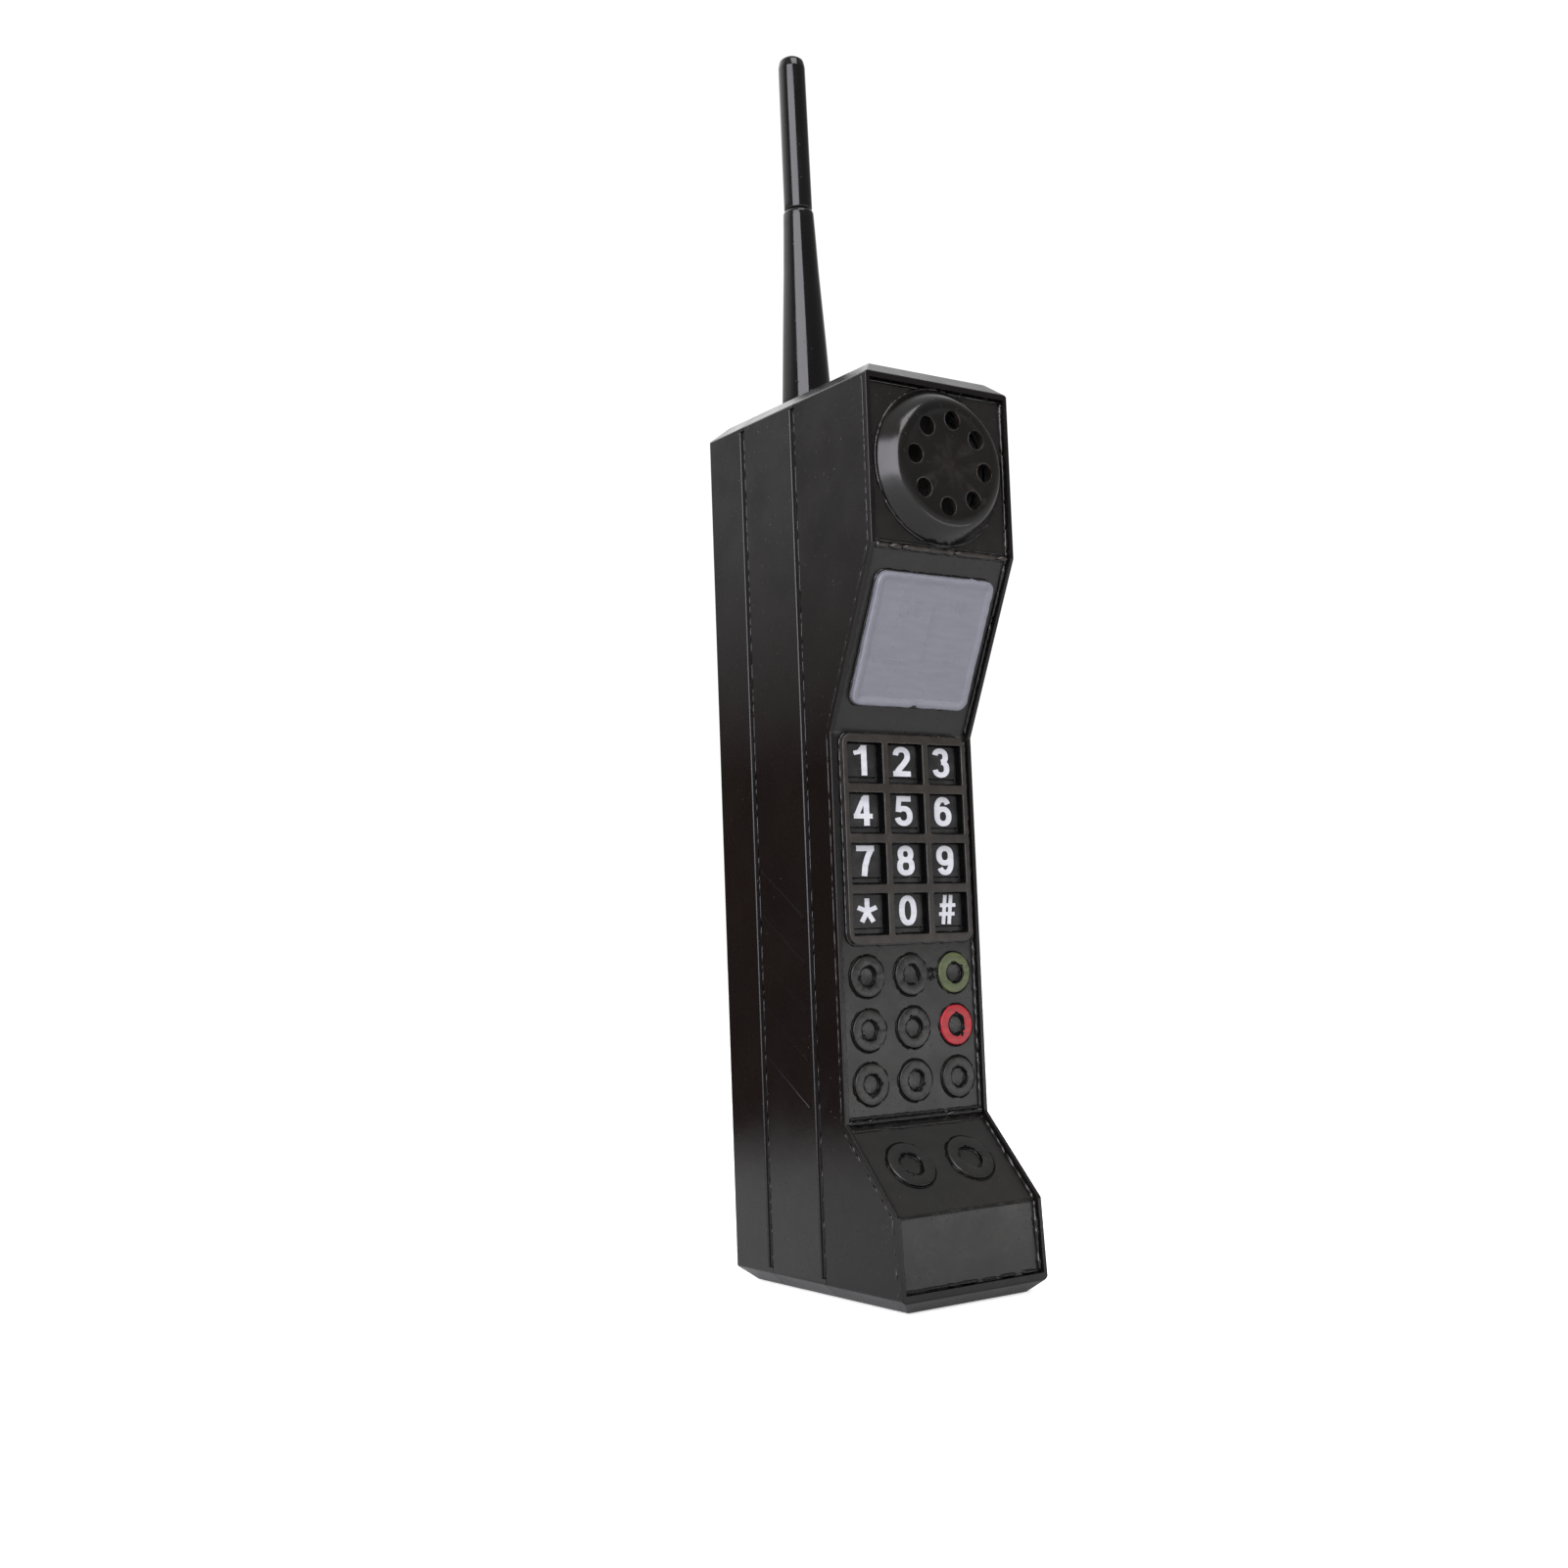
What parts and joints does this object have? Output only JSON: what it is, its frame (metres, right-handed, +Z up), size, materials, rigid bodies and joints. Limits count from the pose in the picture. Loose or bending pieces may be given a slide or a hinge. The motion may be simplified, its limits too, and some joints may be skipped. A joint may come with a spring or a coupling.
{
  "type": "toy cell phone",
  "caption": "Tall brick-shaped toy handset with a stepped front, round earpiece, sloping display window, sprung number keys and ring buttons, and a tapered stub antenna.",
  "frame": {"origin": "centre of the footprint, on the flat underside that the phone stands on", "axes": "+Z up along the handset towards the antenna, -Y out of the front with the keypad, +X to the right of someone looking at the front"},
  "size_m": [0.0508, 0.082, 0.3575],
  "materials": {
    "housing": "satin charcoal-black moulded plastic with fine dust specks and brownish worn edges",
    "panel": "semi-gloss charcoal-black plastic with glossier black paint pooled in the seams",
    "key": "semi-gloss black with printed white characters",
    "button": "semi-gloss black with uneven hand-painted rim",
    "green_button": "olive green paint on black",
    "red_button": "red paint on black",
    "display": "satin mid grey",
    "antenna": "glossy black",
    "rubber": "matte grey silicone",
    "circuit_board": "brown phenolic board",
    "chip": "black epoxy blob",
    "speaker_paper": "dark treated paper",
    "cell": "plain blue sleeve",
    "steel": "nickel-plated steel",
    "magnet": "dark ferrite",
    "wire": "red and black insulation"
  },
  "bodies": {
    "phone": {"battery_box": "housing", "battery_bridge": "steel", "battery_cell_left": "cell", "battery_cell_right": "cell", "battery_contact": "steel", "battery_spring_lower": "steel", "battery_spring_upper": "steel", "battery_wire": "wire", "board_screw_lower": "steel", "board_screw_upper": "steel", "chin_board": "circuit_board", "chin_membrane": "rubber", "display_window": "display", "earpiece_cover": "panel", "front_housing": "housing", "front_panel": "panel", "function_membrane": "rubber", "housing_screw_lower_left": "steel", "housing_screw_lower_right": "steel", "housing_screw_upper_left": "steel", "housing_screw_upper_right": "steel", "keypad_frame": "panel", "keypad_membrane": "rubber", "main_board": "circuit_board", "middle_housing": "housing", "rear_cover": "housing", "sound_chip": "chip", "speaker_basket": "steel", "speaker_cone": "speaker_paper", "speaker_magnet": "magnet", "speaker_wire": "wire"},
    "antenna": {"antenna_boot": "antenna", "antenna_mast": "antenna", "antenna_clip": "steel"},
    "battery_hatch": {"battery_door": "housing", "battery_door_screw": "steel"},
    "key_1_cap": {"key_1": "key"},
    "key_2_cap": {"key_2": "key"},
    "key_3_cap": {"key_3": "key"},
    "key_4_cap": {"key_4": "key"},
    "key_5_cap": {"key_5": "key"},
    "key_6_cap": {"key_6": "key"},
    "key_7_cap": {"key_7": "key"},
    "key_8_cap": {"key_8": "key"},
    "key_9_cap": {"key_9": "key"},
    "key_star_cap": {"key_star": "key"},
    "key_0_cap": {"key_0": "key"},
    "key_hash_cap": {"key_hash": "key"},
    "function_button_1_cap": {"function_button_1": "button"},
    "function_button_2_cap": {"function_button_2": "button"},
    "function_button_3_cap": {"function_button_3": "green_button"},
    "function_button_4_cap": {"function_button_4": "button"},
    "function_button_5_cap": {"function_button_5": "button"},
    "function_button_6_cap": {"function_button_6": "red_button"},
    "function_button_7_cap": {"function_button_7": "button"},
    "function_button_8_cap": {"function_button_8": "button"},
    "function_button_9_cap": {"function_button_9": "button"},
    "chin_button_left_cap": {"chin_button_left": "button"},
    "chin_button_right_cap": {"chin_button_right": "button"}
  },
  "joints": [
    {"name": "key_1_press", "type": "slide", "parent": "phone", "child": "key_1_cap", "axis": [0, 1, 0], "range_m": [0, 0.001], "stiffness_N_per_m": 150, "springref_m": -0.002},
    {"name": "key_2_press", "type": "slide", "parent": "phone", "child": "key_2_cap", "axis": [0, 1, 0], "range_m": [0, 0.001], "stiffness_N_per_m": 150, "springref_m": -0.002},
    {"name": "key_3_press", "type": "slide", "parent": "phone", "child": "key_3_cap", "axis": [0, 1, 0], "range_m": [0, 0.001], "stiffness_N_per_m": 150, "springref_m": -0.002},
    {"name": "key_4_press", "type": "slide", "parent": "phone", "child": "key_4_cap", "axis": [0, 1, 0], "range_m": [0, 0.001], "stiffness_N_per_m": 150, "springref_m": -0.002},
    {"name": "key_5_press", "type": "slide", "parent": "phone", "child": "key_5_cap", "axis": [0, 1, 0], "range_m": [0, 0.001], "stiffness_N_per_m": 150, "springref_m": -0.002},
    {"name": "key_6_press", "type": "slide", "parent": "phone", "child": "key_6_cap", "axis": [0, 1, 0], "range_m": [0, 0.001], "stiffness_N_per_m": 150, "springref_m": -0.002},
    {"name": "key_7_press", "type": "slide", "parent": "phone", "child": "key_7_cap", "axis": [0, 1, 0], "range_m": [0, 0.001], "stiffness_N_per_m": 150, "springref_m": -0.002},
    {"name": "key_8_press", "type": "slide", "parent": "phone", "child": "key_8_cap", "axis": [0, 1, 0], "range_m": [0, 0.001], "stiffness_N_per_m": 150, "springref_m": -0.002},
    {"name": "key_9_press", "type": "slide", "parent": "phone", "child": "key_9_cap", "axis": [0, 1, 0], "range_m": [0, 0.001], "stiffness_N_per_m": 150, "springref_m": -0.002},
    {"name": "key_star_press", "type": "slide", "parent": "phone", "child": "key_star_cap", "axis": [0, 1, 0], "range_m": [0, 0.001], "stiffness_N_per_m": 150, "springref_m": -0.002},
    {"name": "key_0_press", "type": "slide", "parent": "phone", "child": "key_0_cap", "axis": [0, 1, 0], "range_m": [0, 0.001], "stiffness_N_per_m": 150, "springref_m": -0.002},
    {"name": "key_hash_press", "type": "slide", "parent": "phone", "child": "key_hash_cap", "axis": [0, 1, 0], "range_m": [0, 0.001], "stiffness_N_per_m": 150, "springref_m": -0.002},
    {"name": "function_button_1_press", "type": "slide", "parent": "phone", "child": "function_button_1_cap", "axis": [0, 1, 0], "range_m": [0, 0.0008], "stiffness_N_per_m": 150, "springref_m": -0.002},
    {"name": "function_button_2_press", "type": "slide", "parent": "phone", "child": "function_button_2_cap", "axis": [0, 1, 0], "range_m": [0, 0.0008], "stiffness_N_per_m": 150, "springref_m": -0.002},
    {"name": "function_button_3_press", "type": "slide", "parent": "phone", "child": "function_button_3_cap", "axis": [0, 1, 0], "range_m": [0, 0.0008], "stiffness_N_per_m": 150, "springref_m": -0.002},
    {"name": "function_button_4_press", "type": "slide", "parent": "phone", "child": "function_button_4_cap", "axis": [0, 1, 0], "range_m": [0, 0.0008], "stiffness_N_per_m": 150, "springref_m": -0.002},
    {"name": "function_button_5_press", "type": "slide", "parent": "phone", "child": "function_button_5_cap", "axis": [0, 1, 0], "range_m": [0, 0.0008], "stiffness_N_per_m": 150, "springref_m": -0.002},
    {"name": "function_button_6_press", "type": "slide", "parent": "phone", "child": "function_button_6_cap", "axis": [0, 1, 0], "range_m": [0, 0.0008], "stiffness_N_per_m": 150, "springref_m": -0.002},
    {"name": "function_button_7_press", "type": "slide", "parent": "phone", "child": "function_button_7_cap", "axis": [0, 1, 0], "range_m": [0, 0.0008], "stiffness_N_per_m": 150, "springref_m": -0.002},
    {"name": "function_button_8_press", "type": "slide", "parent": "phone", "child": "function_button_8_cap", "axis": [0, 1, 0], "range_m": [0, 0.0008], "stiffness_N_per_m": 150, "springref_m": -0.002},
    {"name": "function_button_9_press", "type": "slide", "parent": "phone", "child": "function_button_9_cap", "axis": [0, 1, 0], "range_m": [0, 0.0008], "stiffness_N_per_m": 150, "springref_m": -0.002},
    {"name": "chin_button_left_press", "type": "slide", "parent": "phone", "child": "chin_button_left_cap", "axis": [0, 0.7317, -0.6816], "range_m": [0, 0.0008], "stiffness_N_per_m": 150, "springref_m": -0.002},
    {"name": "chin_button_right_press", "type": "slide", "parent": "phone", "child": "chin_button_right_cap", "axis": [0, 0.7317, -0.6816], "range_m": [0, 0.0008], "stiffness_N_per_m": 150, "springref_m": -0.002},
    {"name": "antenna_turn", "type": "hinge", "parent": "phone", "child": "antenna", "pos_m": [-0.0095, 0.011, 0.25], "axis": [-0.0068, 0.0051, 1], "continuous": true},
    {"name": "battery_door_lift", "type": "slide", "parent": "phone", "child": "battery_hatch", "axis": [0, 1, 0], "range_m": [0, 0.03]}
  ]
}
